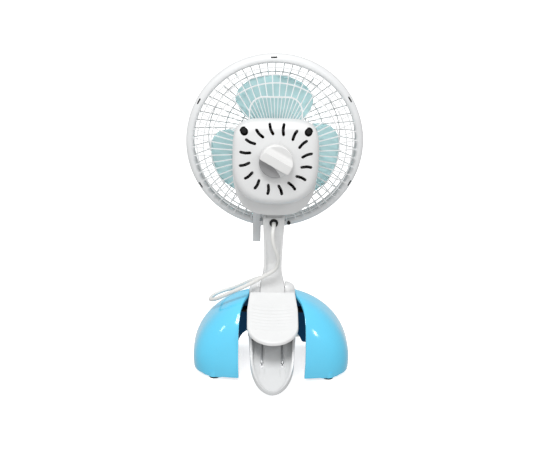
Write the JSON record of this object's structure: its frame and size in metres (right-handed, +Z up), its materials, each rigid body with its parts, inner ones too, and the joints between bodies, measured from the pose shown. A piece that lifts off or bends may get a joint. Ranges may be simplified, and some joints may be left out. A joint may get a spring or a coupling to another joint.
{
  "type": "clip fan",
  "caption": "Small clip-on desk fan with a slotted dome base, a sprung clamp, a folding stem, a tilting caged head, a speed knob and a cord with a plug.",
  "frame": {"origin": "on the floor, below the middle of the fan's bounding box with the cord left out", "axes": "+Z up; the air blows towards -Y and the knob faces +Y; +X is to the left as seen from behind the fan"},
  "size_m": [0.1832, 0.236, 0.332],
  "materials": {
    "blue_shell": "glossy light blue, smooth",
    "white_plastic": "white, satin",
    "guard_plastic": "white, satin",
    "blade_plastic": "translucent pale aqua, glossy",
    "knob_plastic": "off-white, satin",
    "black_rubber": "black, matte",
    "dark_plastic": "near-black, matte",
    "cord_plastic": "white, slightly rough",
    "steel": "plain bright steel",
    "laminations": "stacked sheet, dull",
    "copper": "enamelled wire, brown",
    "brass": "plain sintered brass"
  },
  "bodies": {
    "base": {"base_shell": "blue_shell", "foot_back_left": "black_rubber", "foot_back_right": "black_rubber", "foot_front_left": "black_rubber", "foot_front_right": "black_rubber", "saddle": "white_plastic", "saddle_screw_left": "steel", "saddle_screw_right": "steel", "upper_jaw_pad": "black_rubber", "hinge_pin": "steel", "jaw_spring": "steel", "fold_pin": "steel", "cord": "cord_plastic", "cord_coil": "cord_plastic", "cord_tail": "cord_plastic", "plug_body": "white_plastic", "plug_pin_left": "steel", "plug_pin_right": "steel"},
    "jaw": {"jaw_lever": "white_plastic", "lower_jaw_pad": "black_rubber"},
    "stem": {"stem": "white_plastic", "cord_grommet": "white_plastic", "tilt_bolt": "steel", "tilt_nut": "steel"},
    "head": {"front_housing": "white_plastic", "rear_cover": "white_plastic", "cover_screw_left": "steel", "cover_screw_right": "steel", "switch_body": "dark_plastic", "rear_guard": "guard_plastic", "front_guard": "guard_plastic", "front_cap": "white_plastic", "guard_latch": "guard_plastic", "guard_screw": "dark_plastic", "stator_core": "laminations", "stator_winding": "copper", "front_bearing": "brass", "rear_bearing": "brass", "motor_bracket": "steel"},
    "knob": {"speed_knob": "knob_plastic"},
    "rotor": {"fan_blade": "blade_plastic", "blade_nut": "white_plastic", "motor_shaft": "steel", "rotor_core": "laminations"}
  },
  "joints": [
    {"name": "stem_fold", "type": "hinge", "parent": "base", "child": "stem", "pos_m": [0, -0.01075, 0.0855], "axis": [1, 0, 0], "range_deg": [0, 40]},
    {"name": "head_tilt", "type": "hinge", "parent": "stem", "child": "head", "pos_m": [0, -0.01075, 0.16], "axis": [1, 0, 0], "range_deg": [-25, 15]},
    {"name": "blade_spin", "type": "hinge", "parent": "head", "child": "rotor", "pos_m": [0, -0.01375, 0.24], "axis": [0, 1, 0], "continuous": true},
    {"name": "knob_turn", "type": "hinge", "parent": "head", "child": "knob", "pos_m": [0, -0.01375, 0.2374], "axis": [0, 1, 0], "range_deg": [0, 90]},
    {"name": "jaw_open", "type": "hinge", "parent": "base", "child": "jaw", "pos_m": [0, 0.02825, 0.05], "axis": [1, 0, 0], "range_deg": [0, 30], "stiffness_Nm_per_rad": 0.8, "springref_deg": -34.38, "deforming": ["jaw_spring"]}
  ]
}
